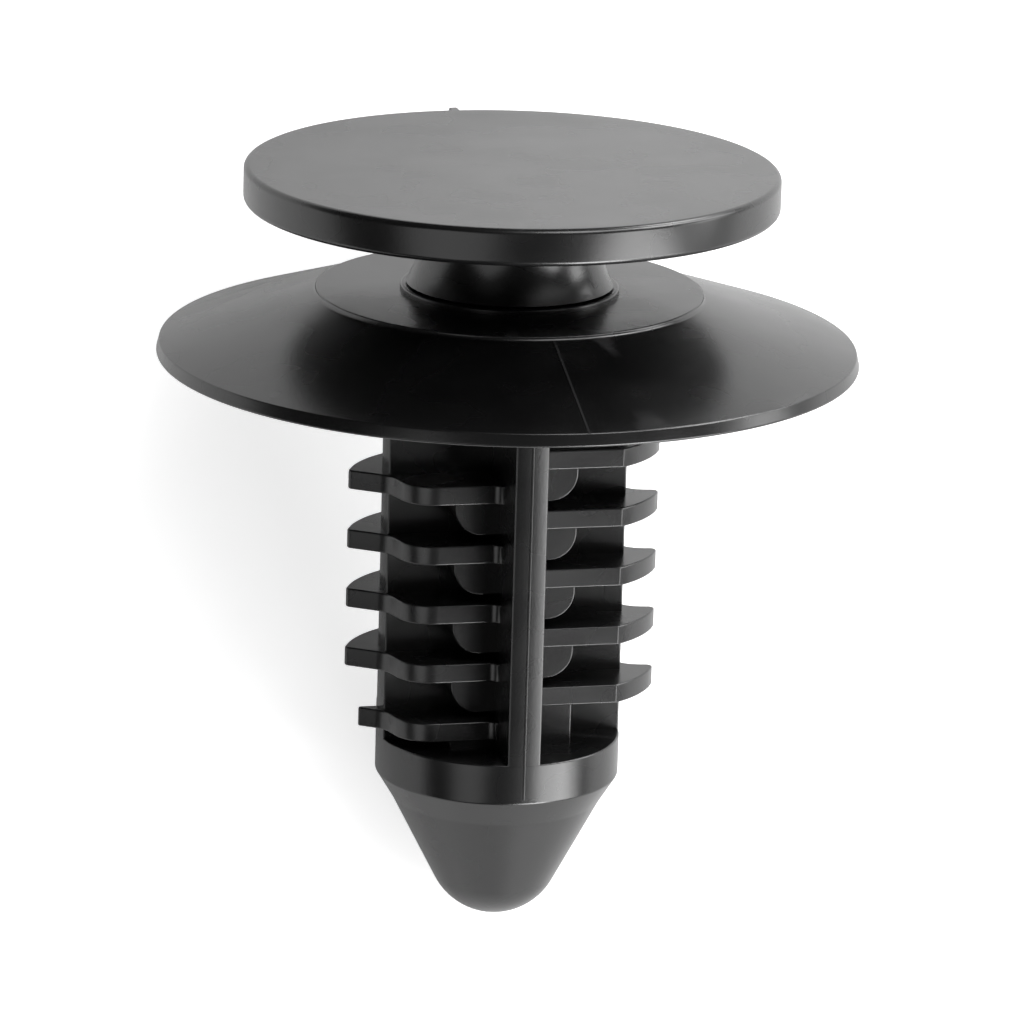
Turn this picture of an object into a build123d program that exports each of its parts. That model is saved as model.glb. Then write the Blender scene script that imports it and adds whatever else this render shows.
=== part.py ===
from build123d import *
import math
import os

# Trim panel retainer: one nylon moulding with a flat head, a neck, a hollow sealing umbrella and a finned
# shank that ends in a guide band and a blunt nose.
# It is drawn along its own axis, head up, with the lower edge of the umbrella's rim at height zero, and is
# then laid on its side, as a loose one comes to rest. Lengths are in millimetres, angles in degrees.

# Head
head_radius = 7.2
head_thickness = 1.0
head_edge_radius = 0.15

# Gate mark: a small nub left at the back of the head's rim, level with the head's top
gate_reach = 0.28
gate_width = 0.25
gate_height = 0.4

# Neck, waisted between the head and the collar at its foot
neck_length = 2.15
neck_waist_radius = 2.45
neck_end_radius = 2.75
collar_radius = 2.92
collar_height = 0.2
collar_edge_chamfer = 0.07

# Umbrella: a flat ring, a small step down, then a straight skirt to the rim; it is hollow underneath
umbrella_radius = 9.5
umbrella_height = 1.85
ring_radius = 5.22
ring_step = 0.11
ring_edge_chamfer = 0.04
crown_thickness = 0.85
crown_inner_radius = 4.6
rim_thickness = 0.36
rim_draft = 0.1
rim_land = 0.3
rim_edge_chamfer = 0.06

# Shank: a web from front to back and a cross plate from side to side, both flush with the guide band
shank_radius = 3.33
web_thickness = 0.9
plate_thickness = 0.95

# Fins: blades on both sides of the web, flush with the shank but for a lobe that grips the panel's hole;
# the lobes of the right fins point forwards and those of the left fins backwards, and the lowest left fin
# keeps only the slanted heel of its lobe
fin_pitch = 1.66
fin_thickness = 0.53
fin_half_width = 1.87
fin_root_radius = 0.3
lobe_start = 2.85
lobe_tip_radius = 4.31
lobe_tip_offset = 0.15
lobe_bulge = 0.19
lobe_tip_rounding = 0.15
last_heel_tip_radius = 4.1
last_heel_rounding = 0.08
right_heel = 0.0
left_heel = 0.55
left_fin_count = 5
left_fin_depth = 3.1
right_fin_count = 5
right_fin_depth = 2.2

# Gussets: rounded brackets under the fins, beside the web
gusset_reach = 1.68
gusset_half_width = 1.6
gusset_drop = 0.95
gusset_corner_radius = 0.75

# Guide band, cone and nose
band_depth = 10.55
band_height = 1.2
band_edge_radius = 0.12
cone_half_angle = 28.7
nose_radius = 1.92

# Heights worked out from the sizes above
collar_top = umbrella_height + collar_height
head_underside = collar_top + neck_length
head_top = head_underside + head_thickness
crown_underside = umbrella_height - crown_thickness
band_foot = -(band_depth + band_height)


def corners_at(sketch, *points):
    """The corners of a flat profile that lie at the given points."""
    return [min(sketch.vertices(), key=lambda v: math.dist((v.X, v.Y), point)) for point in points]


def turned(outline):
    """A solid of revolution about the part's axis, from a half section of radius and height."""
    return revolve(Plane.XZ * outline, axis=Axis.Z)


def head_and_umbrella():
    """Head, neck, collar and hollow umbrella."""
    neck_middle = (collar_top + head_underside) / 2
    skirt_foot = (umbrella_radius - rim_draft, rim_thickness)
    rim_foot = (umbrella_radius, 0)
    outline = Polyline((0, crown_underside), (0, head_top), (head_radius, head_top),
                       (head_radius, head_underside), (neck_end_radius, head_underside))
    outline += ThreePointArc((neck_end_radius, head_underside), (neck_waist_radius, neck_middle),
                             (neck_end_radius, collar_top))
    outline += Polyline((neck_end_radius, collar_top), (collar_radius, collar_top),
                        (collar_radius, umbrella_height), (ring_radius, umbrella_height),
                        (ring_radius, umbrella_height - ring_step), skirt_foot, rim_foot,
                        (umbrella_radius - rim_land, 0), (crown_inner_radius, crown_underside),
                        (0, crown_underside))
    section = make_face(outline)
    section = fillet(corners_at(section, (head_radius, head_top), (head_radius, head_underside)),
                     head_edge_radius)
    section = chamfer(corners_at(section, (collar_radius, collar_top)), collar_edge_chamfer)
    section = chamfer(corners_at(section, (ring_radius, umbrella_height)), ring_edge_chamfer)
    section = chamfer(corners_at(section, skirt_foot, rim_foot), rim_edge_chamfer)
    return turned(section)


def gate_mark():
    """The nub at the back of the head's rim; it starts inside the head, behind the rounded edge."""
    depth = 2 * head_edge_radius + gate_reach
    middle = head_radius + gate_reach - depth / 2
    return Pos(0, middle, head_top - gate_height / 2) * Box(gate_width, depth, gate_height)


def nose_centre_height():
    """The height of the middle of the nose, a ball that the cone runs into without an edge."""
    slope = math.radians(cone_half_angle)
    return band_foot - shank_radius / math.tan(slope) + nose_radius / math.sin(slope)


def tip():
    """Guide band, cone and nose."""
    slope = math.radians(cone_half_angle)
    nose_centre = nose_centre_height()
    nose_start = (nose_radius * math.cos(slope), nose_centre - nose_radius * math.sin(slope))
    nose_bottom = (0, nose_centre - nose_radius)
    outline = Polyline(nose_bottom, (0, -band_depth), (shank_radius, -band_depth),
                       (shank_radius, band_foot), nose_start)
    outline += RadiusArc(nose_start, nose_bottom, nose_radius)
    section = make_face(outline)
    section = fillet(corners_at(section, (shank_radius, band_foot)), band_edge_radius)
    return turned(section)


def shank():
    """Web and cross plate, from the umbrella's crown down to the guide band."""
    middle = (crown_underside - band_depth) / 2
    length = crown_underside + band_depth
    web = Box(web_thickness, 2 * shank_radius, length)
    plate = Box(2 * shank_radius, plate_thickness, length)
    return Pos(0, 0, middle) * ((web + plate) & Cylinder(shank_radius, length))


def fin(top, heel, lobed=True):
    """One blade towards +X; its lobe points to the front and its heel slants back to the shank behind."""
    blade = Pos(shank_radius / 2, 0) * Rectangle(shank_radius, 2 * fin_half_width)
    blade += Rectangle(web_thickness, 2 * shank_radius)
    blade &= Circle(shank_radius)
    roots = corners_at(blade, (web_thickness / 2, fin_half_width), (web_thickness / 2, -fin_half_width))
    blade = fillet(roots, fin_root_radius)
    heel_corner = (math.sqrt(shank_radius**2 - heel**2), heel)
    lobe_corner = (lobe_start, -fin_half_width)
    if lobed:
        tip_corner = (lobe_tip_radius, -lobe_tip_offset)
        chord = math.dist(lobe_corner, tip_corner)
        bulge_radius = chord**2 / (8 * lobe_bulge) + lobe_bulge / 2
        outline = Polyline(tip_corner, heel_corner, (0, 0), (0, -fin_half_width), lobe_corner)
        outline += RadiusArc(lobe_corner, tip_corner, -bulge_radius)
        rounding = lobe_tip_rounding
    else:
        tip_corner = (last_heel_tip_radius, 0)
        outline = Polyline(tip_corner, heel_corner, (0, 0), close=True)
        rounding = last_heel_rounding
    lobe = make_face(outline)
    lobe = fillet(corners_at(lobe, tip_corner), rounding)
    return extrude(Pos(0, 0, top) * (blade + lobe), amount=-fin_thickness)


def gusset(top, foot):
    """One bracket towards +X under a fin; it runs down to the guide band where that is nearer."""
    height = top - foot
    section = Pos(gusset_reach / 2, top - height / 2) * Rectangle(gusset_reach, height)
    if foot > -band_depth:
        section = fillet(corners_at(section, (gusset_reach, foot)), gusset_corner_radius)
    return extrude(Plane.XZ * section, amount=gusset_half_width, both=True)


def fin_row(first_depth, count, heel, last_is_lobed):
    """The fins and gussets of one side, towards +X."""
    row = []
    for index in range(count):
        top = -(first_depth + index * fin_pitch)
        underside = top - fin_thickness
        last = index == count - 1
        row.append(fin(top, heel, last_is_lobed or not last))
        row.append(gusset(underside, -band_depth if last else underside - gusset_drop))
    return row


def retainer():
    """The whole moulding, head up."""
    half_turn = Rot(0, 0, 180)
    right = fin_row(right_fin_depth, right_fin_count, right_heel, last_is_lobed=True)
    left = fin_row(left_fin_depth, left_fin_count, left_heel, last_is_lobed=False)
    body = head_and_umbrella() + gate_mark() + shank() + tip()
    return body + right + [half_turn * piece for piece in left]


def lying_tilt():
    """The angle of the axis above the floor when the umbrella's rim and the shank's tip both touch it."""
    nose_depth = -nose_centre_height()
    on_band = math.atan2(umbrella_radius - shank_radius, -band_foot)
    on_nose = math.acos(nose_radius / math.hypot(umbrella_radius, nose_depth))
    on_nose -= math.atan2(nose_depth, umbrella_radius)
    return math.degrees(min(on_band, on_nose))


def laid_down(body):
    """The part on its side, its back down, centred over the origin and touching the floor at height zero."""
    body = Rot(lying_tilt() - 90, 0, 0) * body
    box = body.bounding_box()
    return Pos(-box.center().X, -box.center().Y, -box.min.Z) * body


os.makedirs("parts", exist_ok=True)
part = laid_down(retainer())
part.label = "retainer"
export_step(part, "parts/retainer.step")
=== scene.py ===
import math

import bmesh
import bpy
from mathutils import Matrix, Vector


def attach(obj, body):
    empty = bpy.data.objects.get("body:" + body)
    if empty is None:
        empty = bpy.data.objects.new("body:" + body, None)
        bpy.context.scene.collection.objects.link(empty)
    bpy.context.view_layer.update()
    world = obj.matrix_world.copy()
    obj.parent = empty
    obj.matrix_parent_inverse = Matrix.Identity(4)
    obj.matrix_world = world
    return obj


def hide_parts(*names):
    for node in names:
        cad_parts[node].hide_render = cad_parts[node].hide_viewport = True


# A trim panel retainer of black nylon, lying on its side on a pale floor. The moulding is built again as a
# fine mesh, in the part's own frame: head up, the umbrella's rim at height zero, the side that the photograph
# shows towards -Y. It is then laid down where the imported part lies.
# Lengths are in millimetres and angles in degrees, unless a comment says otherwise.

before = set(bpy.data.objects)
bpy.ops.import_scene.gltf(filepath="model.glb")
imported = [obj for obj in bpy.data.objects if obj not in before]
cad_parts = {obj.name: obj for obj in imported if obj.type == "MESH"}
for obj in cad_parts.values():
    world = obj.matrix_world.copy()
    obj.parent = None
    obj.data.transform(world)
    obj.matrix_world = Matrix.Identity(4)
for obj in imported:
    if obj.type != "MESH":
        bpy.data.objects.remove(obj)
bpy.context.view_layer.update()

MILLIMETRE = 0.001
IMAGE_WIDTH = 1020

# Sockets of a Mix node that mixes colours; their names repeat, so they go by number
MIX_FACTOR, MIX_RESULT, MIX_FIRST, MIX_SECOND = 0, 2, 6, 7

# Head, with the gate mark at the back of its rim
head_radius = 7.2
head_thickness = 1.0
head_edge_radius = 0.15
gate_reach = 0.28
gate_width = 0.25
gate_height = 0.4

# Neck, with a groove and a bead at its foot, and the collar it stands on
neck_length = 2.15
neck_waist_radius = 2.45
neck_end_radius = 2.75
neck_foot_flare = 0.05
groove_depth = 0.06
collar_radius = 2.95
collar_height = 0.2
bead_height = 0.15
collar_edge_radius = 0.07

# Umbrella: ring, step, skirt and rim, and the crown it is hollowed out to
umbrella_radius = 9.485
umbrella_height = 1.85
ring_radius = 5.22
ring_step = 0.11
ring_edge_radius = 0.05
skirt_blend_radius = 0.12
crown_blend_radius = 0.4
crown_thickness = 0.85
crown_inner_radius = 4.6
rim_thickness = 0.36
rim_draft = 0.085
rim_land = 0.285
rim_edge_radius = 0.06

# Shank: its round, the web from front to back and the cross plate from side to side
shank_radius = 3.33
web_thickness = 0.9
plate_thickness = 0.95

# Fins: blades with a lobe in front, whose tip runs back to the shank's round over a slanted heel
fin_count = 5
fin_pitch = 1.66
left_fin_depth = 3.1
right_fin_depth = 2.2
fin_thickness = 0.53
fin_half_width = 1.87
fin_root_radius = 0.3
fin_corner_radius = 1.0
lobe_start = 2.85
lobe_tip_radius = 4.31
lobe_tip_offset = 0.15
lobe_bulge = 0.19
lobe_tip_rounding = 0.15
lobe_tip_clearance = 3 * lobe_tip_rounding
right_heel = 0.0
left_heel = 0.55
heel_blend_radius = 0.8
last_heel_tip_radius = 4.1
last_heel_rounding = 0.08

# Gussets: rounded brackets under the fins, beside the web
gusset_reach = 1.68
gusset_half_width = 1.6
gusset_drop = 0.95
gusset_corner_radius = 0.75

# Guide band, shoulder, cone and nose
band_depth = 10.55
band_height = 1.1
band_edge_radius = 0.12
shoulder_radius = 2.87
shoulder_height = 0.74
shoulder_blend_radius = 1.2
cone_half_angle = 27.4
nose_radius = 1.84

# Softened edges and the mould's parting line
edge_softness = 0.045
flash_height = 0.018
flash_width = 0.06
skirt_line_height = 0.007

# How far pieces reach into each other before they are joined, and how far faces that would coincide keep
# apart
joint_overlap = 0.3
skin_inset = 0.004

# Fineness of the mesh; points closer than the tolerance to the axis, a wall's side or each other's height are
# taken to be there, and only points within the merge distance become one
turn_steps = 288
corner_steps = 5
wall_corner_steps = 3
arc_steps = 18
longest_run = 0.5
bevel_segments = 3
round_bevel = 0.5
tolerance = 0.004
merge_distance = 0.00001
crease_angle = 34

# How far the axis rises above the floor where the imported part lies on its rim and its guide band's foot
lying_tilt = 27.704

# Black nylon: fine grain and broad flow patches, in patterns per metre, and the depth of the grain in metres
grain_scale = 14000.0
grain_detail = 3.0
grain_roughness = 0.6
grain_strength = 0.25
grain_depth = 0.000008
flow_scale = 420.0
flow_detail = 2.0
flow_roughness = 0.5
flow_stops = (0.35, 0.65)
nylon_tones = ((0.002, 0.002, 0.0021, 1), (0.0035, 0.0035, 0.0036, 1))
# Paler sharp edges: partly rubbed wear, partly a painted highlight along the edges
edge_wear_and_highlight_tone = (0.04, 0.04, 0.041, 1)
edge_wear_and_highlight_pointiness = (0.5, 0.62)
most_edge_wear_and_highlight = 0.5
nylon_roughness = (0.22, 0.32)
nylon_ior = 1.53
nylon_specular = 0.7

# Floor, with its radius in metres, and its own white as the camera sees it and as the nylon mirrors it
floor_radius = 0.10
floor_segments = 96
floor_tone = (0.8, 0.8, 0.8, 1)
floor_roughness = 0.9
floor_specular = 0.1
floor_lift_seen = 0.7
floor_lift_mirrored = 0.12
white = (1, 1, 1, 1)

# Light round the part: the backdrop's tone, the lamps' distance in metres, and for each lamp its direction in
# the upright view, the side of its square in metres and its radiance
backdrop_tone = (0.03, 0.03, 0.03, 1)
lamp_distance = 0.30
lamps = (
    ("key_lamp", (0.75, -0.20, 0.63), 0.12, 9.5),
    ("top_lamp", (0.39, -0.57, 0.72), 0.14, 5.0),
    ("rear_lamp", (0.52, 0.28, 0.80), 0.10, 10.4),
    ("back_lamp", (0.87, 0.17, 0.46), 0.10, 6.0),
    ("level_lamp", (1.00, -0.03, 0.02), 0.10, 5.0),
    ("side_lamp", (0.87, -0.29, -0.39), 0.10, 5.0),
    ("low_lamp", (0.50, -0.55, -0.67), 0.12, 14.0),
    ("fill_lamp", (0.77, -0.57, -0.28), 0.14, 6.0),
    ("left_lamp", (-0.42, -0.89, -0.18), 0.18, 0.9),
)

# The photograph's view of the upright part: the camera's distance, height angle and roll, the point it looks
# at, and how far the shank is turned about its axis; the lens in pixels of the image, the nearest that the
# camera sees in metres
camera_distance = 180.9
camera_elevation = 15.81
camera_roll = 1.62
camera_target = (0.179, 0.0, -4.331)
shank_turn = 13.3
focal_pixels = 6667
sensor_width = 36.0
clip_start = 0.01

# Heights worked out from the sizes above
collar_top = umbrella_height + collar_height
head_underside = collar_top + neck_length
head_top = head_underside + head_thickness
bead_top = umbrella_height + bead_height
crown_underside = umbrella_height - crown_thickness
band_foot = -(band_depth + band_height)
shoulder_foot = band_foot - shoulder_height
cone_slope = math.radians(cone_half_angle)
nose_centre = shoulder_foot - shoulder_radius / math.tan(cone_slope) + nose_radius / math.sin(cone_slope)


def softened(points, radii, steps=corner_steps):
    """A closed outline with its corners rounded to the given radii; a corner of radius zero stays sharp."""
    outline = []
    for index, (point, radius) in enumerate(zip(points, radii)):
        corner = Vector(point)
        if radius == 0:
            outline.append(corner)
            continue
        before = (Vector(points[index - 1]) - corner).normalized()
        after = (Vector(points[(index + 1) % len(points)]) - corner).normalized()
        half = before.angle(after) / 2
        centre = corner + (before + after).normalized() * radius / math.sin(half)
        start = corner + before * radius / math.tan(half) - centre
        end = corner + after * radius / math.tan(half) - centre
        sweep = math.atan2(start.x * end.y - start.y * end.x, start.dot(end))
        for step in range(steps + 1):
            outline.append(centre + Matrix.Rotation(sweep * step / steps, 2) @ start)
    return outline


def arc(start, end, bulge):
    """Points between two ends, ends left out, on an arc that bulges to the right of its way."""
    start, end = Vector(start), Vector(end)
    chord = end - start
    radius = chord.length ** 2 / (8 * abs(bulge)) + abs(bulge) / 2
    side = Vector((chord.y, -chord.x)).normalized() * math.copysign(1, bulge)
    centre = (start + end) / 2 - side * (radius - abs(bulge))
    ray = start - centre
    last = end - centre
    sweep = math.atan2(ray.x * last.y - ray.y * last.x, ray.dot(last))
    return [centre + Matrix.Rotation(sweep * step / arc_steps, 2) @ ray for step in range(1, arc_steps)]


def circle_arc(radius, first, last):
    """Points on a circle about the axis, between two directions in radians, both ends included."""
    angles = [first + (last - first) * step / arc_steps for step in range(arc_steps + 1)]
    return [Vector((radius * math.cos(angle), radius * math.sin(angle))) for angle in angles]


def new_piece(name, mesh):
    """An object from a bmesh, with its faces turned outwards."""
    bmesh.ops.recalc_face_normals(mesh, faces=mesh.faces)
    data = bpy.data.meshes.new(name)
    mesh.to_mesh(data)
    mesh.free()
    piece = bpy.data.objects.new(name, data)
    bpy.context.scene.collection.objects.link(piece)
    return piece


def turned(name, profile):
    """A solid of revolution, from a profile of radius and height that starts and ends on the axis."""
    mesh = bmesh.new()
    rings = []
    for radius, height in profile:
        turns = turn_steps if radius > tolerance else 1
        angles = [math.tau * turn / turn_steps for turn in range(turns)]
        ring = [(radius * math.cos(angle), radius * math.sin(angle), height) for angle in angles]
        rings.append([mesh.verts.new(point) for point in ring])
    for upper, lower in zip(rings, rings[1:]):
        for turn in range(turn_steps):
            corners = [upper[turn % len(upper)], upper[(turn + 1) % len(upper)],
                       lower[(turn + 1) % len(lower)], lower[turn % len(lower)]]
            mesh.faces.new(list(dict.fromkeys(corners)))
    return new_piece(name, mesh)


def slab(name, outline, low, high, softness=edge_softness):
    """A prism between two heights from a flat outline, with its rims rounded off."""
    mesh = bmesh.new()
    base = mesh.faces.new([mesh.verts.new((x, y, low)) for x, y in outline])
    raised = bmesh.ops.extrude_face_region(mesh, geom=[base])["geom"]
    top = [item for item in raised if isinstance(item, bmesh.types.BMVert)]
    bmesh.ops.translate(mesh, verts=top, vec=(0, 0, high - low))
    bmesh.ops.recalc_face_normals(mesh, faces=mesh.faces)
    if softness:
        rims = [edge for edge in mesh.edges
                if abs(edge.verts[0].co.z - edge.verts[1].co.z) < tolerance]
        bmesh.ops.bevel(mesh, geom=rims, offset=softness, segments=bevel_segments, profile=round_bevel,
                        affect="EDGES", clamp_overlap=True)
    return new_piece(name, mesh)


def turn_piece(piece, matrix):
    """Moves a piece's mesh itself and hands the piece back."""
    piece.data.transform(matrix)
    return piece


def spread(profile):
    """A profile with its long straight runs divided, so that shading stays even."""
    result = []
    for start, end in zip(profile, profile[1:]):
        parts = max(1, math.ceil((end - start).length / longest_run))
        result += [start.lerp(end, part / parts) for part in range(parts)]
    return result + [profile[-1]]


def neck_profile():
    """The waisted side of the neck, from the head's underside down to the flare at its foot."""
    top = (neck_end_radius, head_underside)
    foot = (neck_end_radius + neck_foot_flare, collar_top)
    waist = neck_end_radius - neck_waist_radius
    return [top, *[tuple(point) for point in arc(top, foot, waist)], foot]


def head_and_umbrella():
    """Head, neck, collar and hollow umbrella."""
    neck = neck_profile()
    points = [(0, head_top), (head_radius, head_top), (head_radius, head_underside), *neck,
              (neck_end_radius - groove_depth, bead_top), (collar_radius, bead_top),
              (collar_radius, umbrella_height), (ring_radius, umbrella_height),
              (ring_radius, umbrella_height - ring_step), (umbrella_radius - rim_draft, rim_thickness),
              (umbrella_radius, 0), (umbrella_radius - rim_land, 0), (crown_inner_radius, crown_underside),
              (0, crown_underside)]
    radii = [0, head_edge_radius, head_edge_radius, *[0] * len(neck), 0, collar_edge_radius, 0,
             ring_edge_radius, skirt_blend_radius, rim_edge_radius, rim_edge_radius, 0, crown_blend_radius, 0]
    return turned("umbrella", spread(softened(points, radii)))


def gate_mark():
    """The nub at the back of the head's rim; it starts inside the head, behind the rounded edge."""
    half = gate_width / 2
    inner = head_radius - 2 * head_edge_radius
    outer = head_radius + gate_reach
    outline = softened([(half, inner), (half, outer), (-half, outer), (-half, inner)],
                       [0, edge_softness, edge_softness, 0])
    return slab("gate_mark", outline, head_top - gate_height, head_top - skin_inset)


def tip():
    """Guide band, shoulder, cone and nose."""
    nose_start = (nose_radius * math.cos(cone_slope), nose_centre - nose_radius * math.sin(cone_slope))
    first = math.atan2(nose_start[1] - nose_centre, nose_start[0])
    nose = [point + Vector((0, nose_centre)) for point in circle_arc(nose_radius, first, -math.pi / 2)]
    nose[-1].x = 0
    points = [(0, -band_depth), (shank_radius, -band_depth), (shank_radius, band_foot),
              (shoulder_radius, shoulder_foot), nose_start]
    profile = softened(points, [0, edge_softness, band_edge_radius, shoulder_blend_radius, 0])
    return turned("tip", spread(profile[:-1] + nose))


def wall_outline(thickness):
    """A wall through the axis, just inside the shank's round, its corners softened."""
    radius = shank_radius - skin_inset
    edge = math.asin(thickness / 2 / radius)
    side = circle_arc(radius, -edge, edge)
    points = [tuple(point) for point in side] + [tuple(-point) for point in side]
    radii = [edge_softness if abs(point[1]) > thickness / 2 - tolerance else 0 for point in points]
    return softened(points, radii, steps=wall_corner_steps)


def walls():
    """Cross plate and web, from inside the crown to inside the guide band."""
    top = crown_underside + joint_overlap
    foot = -band_depth - joint_overlap
    plate = slab("plate", wall_outline(plate_thickness), foot, top, softness=0)
    web = slab("web", wall_outline(web_thickness), foot, top, softness=0)
    return [plate, turn_piece(web, Matrix.Rotation(math.pi / 2, 4, "Z"))]


def parting_line():
    """The fine raised line that the mould's halves leave down the front of the skirt, web and band."""
    half = flash_width / 2
    inner = shank_radius - joint_overlap
    outer = shank_radius + flash_height
    outline = softened([(-half, -inner), (-half, -outer), (half, -outer), (half, -inner)],
                       [0, flash_height, flash_height, 0])
    shank_line = slab("shank_line", outline, band_foot + band_edge_radius, crown_underside + joint_overlap,
                      softness=0)
    start = Vector((ring_radius + ring_edge_radius, umbrella_height - ring_step))
    end = Vector((umbrella_radius - rim_draft, rim_thickness))
    raised = Vector((0, skirt_line_height))
    sunk = Vector((0, -joint_overlap))
    skirt_line = slab("skirt_line", [start + raised, start + sunk, end + sunk, end + raised], -half, half,
                      softness=0)
    # A section drawn as radius and height in the XY plane is stood up so that its radius points to -Y
    face_front = Matrix(((0, 0, -1, 0), (-1, 0, 0, 0), (0, 1, 0, 0), (0, 0, 0, 1)))
    return [shank_line, turn_piece(skirt_line, face_front)]


def fin(top, heel, lobed):
    """One blade towards +X with its slanted heel behind, and with its lobe in front or the heel alone."""
    half = web_thickness / 2
    back_angle = math.asin(fin_half_width / shank_radius)
    heel_angle = math.asin(heel / shank_radius)
    heel_point = (shank_radius * math.cos(heel_angle), heel)
    root = fin_half_width + fin_root_radius
    root_end = (half + fin_root_radius, -fin_half_width)
    front_root = softened([(half, -root), (half, -fin_half_width), root_end], [0, fin_root_radius, 0])
    back_root = [Vector((point.x, -point.y)) for point in reversed(front_root)]
    if lobed:
        start = (lobe_start, -fin_half_width)
        lobe_tip = (lobe_tip_radius, -lobe_tip_offset)
        bulge = [point for point in arc(start, lobe_tip, lobe_bulge)
                 if (point - Vector(lobe_tip)).length > lobe_tip_clearance]
        flank = [start, *bulge, lobe_tip, heel_point]
        radii = [edge_softness, *[0] * len(bulge), lobe_tip_rounding, heel_blend_radius]
    else:
        shank_side = circle_arc(shank_radius, -back_angle, 0)
        flank = [*shank_side, (last_heel_tip_radius, 0), heel_point]
        radii = [*[0] * len(shank_side), last_heel_rounding, heel_blend_radius]
    for angle in ((heel_angle + back_angle) / 2, back_angle):
        flank.append((shank_radius * math.cos(angle), shank_radius * math.sin(angle)))
    radii += [heel_blend_radius, fin_corner_radius]
    rounded = softened([root_end, *flank, tuple(back_root[0])], [0, *radii, 0])[1:-1]
    outline = [Vector((0, -root)), *front_root, *rounded, *back_root, Vector((0, root))]
    return slab("fin", outline, top - fin_thickness, top)


def gusset(top, foot):
    """One bracket towards +X under a fin; one that ends on the guide band reaches into it, unrounded."""
    corner = gusset_corner_radius if foot > -band_depth else 0
    foot = foot if corner else foot - joint_overlap
    inside = top + fin_thickness / 2
    outline = softened([(0, foot), (gusset_reach, foot), (gusset_reach, inside), (0, inside)],
                       [0, corner, 0, 0], steps=arc_steps)
    piece = slab("gusset", outline, -gusset_half_width, gusset_half_width)
    return turn_piece(piece, Matrix.Rotation(math.pi / 2, 4, "X"))


def fin_row(first_depth, heel, last_is_lobed):
    """The fins and gussets of one side, towards +X."""
    row = []
    for index in range(fin_count):
        top = -(first_depth + index * fin_pitch)
        underside = top - fin_thickness
        last = index == fin_count - 1
        row.append(fin(top, heel, last_is_lobed or not last))
        row.append(gusset(underside, -band_depth if last else underside - gusset_drop))
    return row


def joined(name, pieces):
    """One solid from overlapping ones."""
    group = bpy.data.collections.new("operands")
    for piece in pieces[1:]:
        group.objects.link(piece)
    union = pieces[0].modifiers.new("union", "BOOLEAN")
    union.operation = "UNION"
    union.solver = "EXACT"
    union.operand_type = "COLLECTION"
    union.collection = group
    graph = bpy.context.evaluated_depsgraph_get()
    data = bpy.data.meshes.new_from_object(pieces[0].evaluated_get(graph))
    for piece in pieces:
        bpy.data.objects.remove(piece)
    bpy.data.collections.remove(group)
    data.name = name
    whole = bpy.data.objects.new(name, data)
    bpy.context.scene.collection.objects.link(whole)
    return whole


def shade_smooth(piece):
    """Smooth faces with sharp creases, and normals that keep broad faces flat."""
    mesh = bmesh.new()
    mesh.from_mesh(piece.data)
    bmesh.ops.remove_doubles(mesh, verts=mesh.verts, dist=merge_distance)
    for face in mesh.faces:
        face.smooth = True
    for edge in mesh.edges:
        edge.smooth = not edge.is_manifold or edge.calc_face_angle() < math.radians(crease_angle)
    mesh.to_mesh(piece.data)
    mesh.free()
    weighted = piece.modifiers.new("normals", "WEIGHTED_NORMAL")
    weighted.keep_sharp = True
    graph = bpy.context.evaluated_depsgraph_get()
    data = bpy.data.meshes.new_from_object(piece.evaluated_get(graph))
    piece.modifiers.clear()
    piece.data = data


half_turn = Matrix.Rotation(math.pi, 4, "Z")
right_row = fin_row(right_fin_depth, right_heel, last_is_lobed=True)
left_row = fin_row(left_fin_depth, left_heel, last_is_lobed=False)
for piece in left_row:
    turn_piece(piece, half_turn)
solids = [head_and_umbrella(), gate_mark(), tip(), *walls(), *parting_line(), *right_row, *left_row]
retainer = joined("retainer_moulding", solids)
shade_smooth(retainer)

laying = Matrix.Rotation(math.radians(lying_tilt) - math.pi / 2, 4, "X")
lying = [laying @ vertex.co for vertex in retainer.data.vertices]
lowest = [min(point[axis] for point in lying) for axis in range(3)]
highest = [max(point[axis] for point in lying) for axis in range(3)]
shift = Matrix.Translation((-(lowest[0] + highest[0]) / 2, -(lowest[1] + highest[1]) / 2, -lowest[2]))
to_world = Matrix.Scale(MILLIMETRE, 4) @ shift @ laying
turn_piece(retainer, to_world)
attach(retainer, "root")
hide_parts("retainer")


def node(tree, kind, **values):
    """A shader node with some of its inputs or settings set by name."""
    made = tree.nodes.new(kind)
    for name, value in values.items():
        label = name.replace("_", " ")
        socket = next((item for item in made.inputs if item.name.lower() == label), None)
        if socket is not None:
            socket.default_value = value
        else:
            setattr(made, name, value)
    return made


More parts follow.
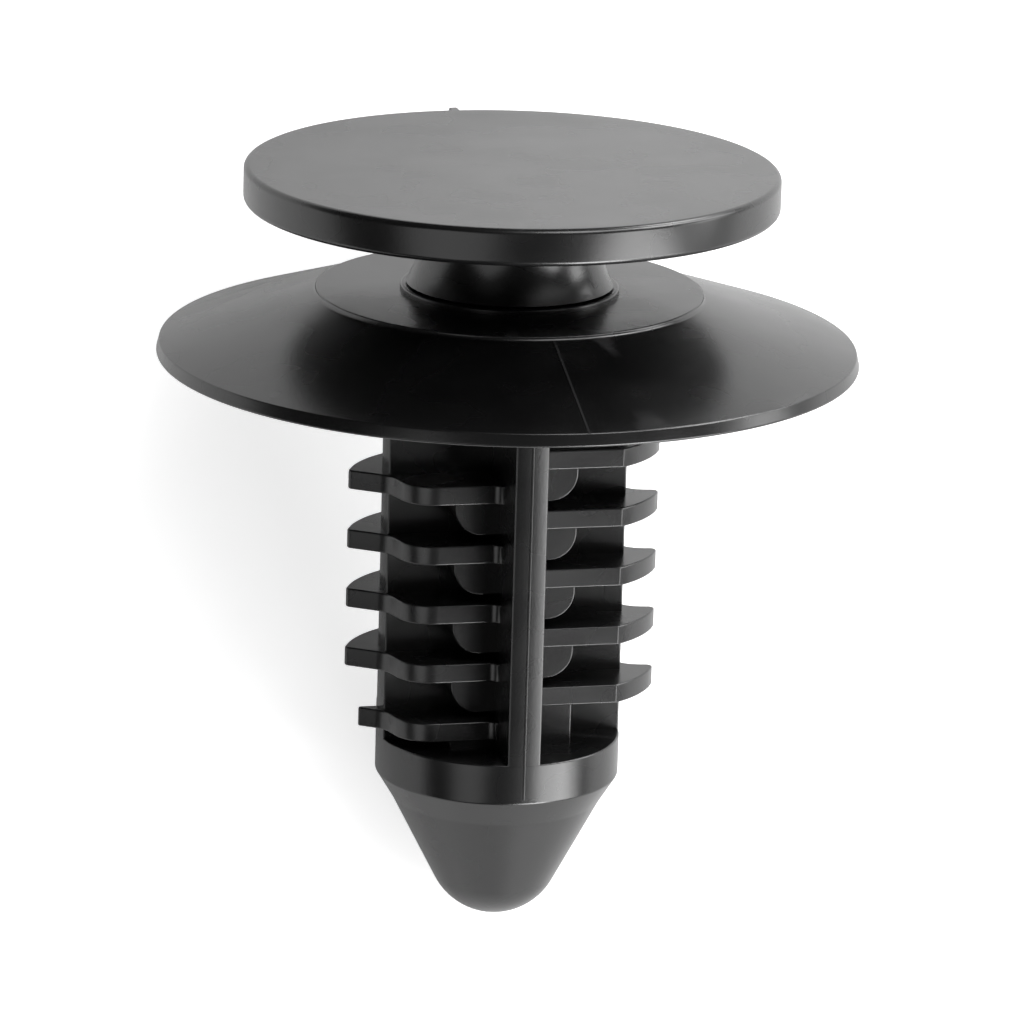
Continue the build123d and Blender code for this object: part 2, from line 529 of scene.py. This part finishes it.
def black_nylon():
    """Satin black nylon: a fine moulded grain, faint flow patches, and slightly paler sharp edges that are
    partly rubbed wear and partly a painted edge highlight.
    """
    material = bpy.data.materials.new("black_nylon")
    material.use_nodes = True
    tree = material.node_tree
    link = tree.links.new
    shader = tree.nodes["Principled BSDF"]
    shader.inputs["IOR"].default_value = nylon_ior
    shader.inputs["Specular IOR Level"].default_value = nylon_specular
    place = node(tree, "ShaderNodeTexCoord").outputs["Object"]
    grain = node(tree, "ShaderNodeTexNoise", scale=grain_scale, detail=grain_detail,
                 roughness=grain_roughness)
    flow = node(tree, "ShaderNodeTexNoise", scale=flow_scale, detail=flow_detail, roughness=flow_roughness)
    for texture in (grain, flow):
        link(place, texture.inputs["Vector"])

    tone = node(tree, "ShaderNodeValToRGB")
    for stop, position, colour in zip(tone.color_ramp.elements, flow_stops, nylon_tones):
        stop.position = position
        stop.color = colour
    link(flow.outputs["Fac"], tone.inputs["Fac"])
    # Sharp edges go paler: partly rubbed wear, partly a painted edge highlight
    edges = node(tree, "ShaderNodeMapRange", from_min=edge_wear_and_highlight_pointiness[0], from_max=edge_wear_and_highlight_pointiness[1],
                 to_max=most_edge_wear_and_highlight)
    link(node(tree, "ShaderNodeNewGeometry").outputs["Pointiness"], edges.inputs["Value"])
    wear_and_highlight = node(tree, "ShaderNodeMix", data_type="RGBA")
    link(edges.outputs["Result"], wear_and_highlight.inputs[MIX_FACTOR])
    link(tone.outputs["Color"], wear_and_highlight.inputs[MIX_FIRST])
    wear_and_highlight.inputs[MIX_SECOND].default_value = edge_wear_and_highlight_tone
    link(wear_and_highlight.outputs[MIX_RESULT], shader.inputs["Base Color"])

    gloss = node(tree, "ShaderNodeMapRange", to_min=nylon_roughness[0], to_max=nylon_roughness[1])
    link(flow.outputs["Fac"], gloss.inputs["Value"])
    link(gloss.outputs["Result"], shader.inputs["Roughness"])
    bump = node(tree, "ShaderNodeBump", strength=grain_strength, distance=grain_depth)
    link(grain.outputs["Fac"], bump.inputs["Height"])
    link(bump.outputs["Normal"], shader.inputs["Normal"])
    return material


def pale_floor():
    """A matt pale floor that keeps its shadows and runs to plain white where the camera sees it lit."""
    material = bpy.data.materials.new("pale_floor")
    material.use_nodes = True
    tree = material.node_tree
    link = tree.links.new
    shader = tree.nodes["Principled BSDF"]
    shader.inputs["Base Color"].default_value = floor_tone
    shader.inputs["Roughness"].default_value = floor_roughness
    shader.inputs["Specular IOR Level"].default_value = floor_specular
    shader.inputs["Emission Color"].default_value = white
    path = node(tree, "ShaderNodeLightPath")
    mirrored = node(tree, "ShaderNodeMath", operation="MULTIPLY")
    link(path.outputs["Is Glossy Ray"], mirrored.inputs[0])
    mirrored.inputs[1].default_value = floor_lift_mirrored
    seen = node(tree, "ShaderNodeMath", operation="MULTIPLY_ADD")
    link(path.outputs["Is Camera Ray"], seen.inputs[0])
    seen.inputs[1].default_value = floor_lift_seen
    link(mirrored.outputs[0], seen.inputs[2])
    link(seen.outputs[0], shader.inputs["Emission Strength"])
    return material


retainer.data.materials.clear()
retainer.data.materials.append(black_nylon())

floor_mesh = bmesh.new()
bmesh.ops.create_circle(floor_mesh, cap_ends=True, segments=floor_segments, radius=floor_radius)
floor = new_piece("floor", floor_mesh)
floor.data.materials.append(pale_floor())

# The upright view, as the photograph sees it, in the world: x to the right, y away from the camera, z along
# the part's axis towards its head
upright = to_world @ Matrix.Rotation(math.radians(-shank_turn), 4, "Z")


def soft_lamp(name, direction, size, radiance):
    """A soft square lamp that looks at the part from a direction of the upright view."""
    way = (upright.to_3x3() @ Vector(direction)).normalized()
    data = bpy.data.lights.new(name, "AREA")
    data.shape = "SQUARE"
    data.size = size
    data.energy = radiance * math.pi * size ** 2
    lamp = bpy.data.objects.new(name, data)
    lamp.location = upright @ Vector(camera_target) + way * lamp_distance
    lamp.rotation_mode = "QUATERNION"
    lamp.rotation_quaternion = way.to_track_quat("Z", "Y")
    bpy.context.scene.collection.objects.link(lamp)


for lamp in lamps:
    soft_lamp(*lamp)

world = bpy.data.worlds.new("studio")
world.use_nodes = True
backdrop = world.node_tree.nodes["Background"]
backdrop.inputs["Color"].default_value = backdrop_tone
backdrop.inputs["Strength"].default_value = 1.0
bpy.context.scene.world = world

elevation = math.radians(camera_elevation)
roll = math.radians(camera_roll)
forward = Vector((0, math.cos(elevation), -math.sin(elevation)))
level_up = Vector((0, math.sin(elevation), math.cos(elevation)))
level_right = Vector((1, 0, 0))
camera_right = level_right * math.cos(roll) + level_up * math.sin(roll)
camera_up = level_up * math.cos(roll) - level_right * math.sin(roll)
turn = upright.to_3x3() @ Matrix((camera_right, camera_up, -forward)).transposed()
camera_data = bpy.data.cameras.new("camera")
camera_data.sensor_width = sensor_width
camera_data.lens = focal_pixels / IMAGE_WIDTH * sensor_width
camera_data.clip_start = clip_start
camera = bpy.data.objects.new("camera", camera_data)
camera.rotation_mode = "QUATERNION"
camera.rotation_quaternion = turn.normalized().to_quaternion()
camera.location = upright @ (Vector(camera_target) - forward * camera_distance)
bpy.context.scene.collection.objects.link(camera)
bpy.context.scene.camera = camera
bpy.context.scene.view_settings.view_transform = "Standard"
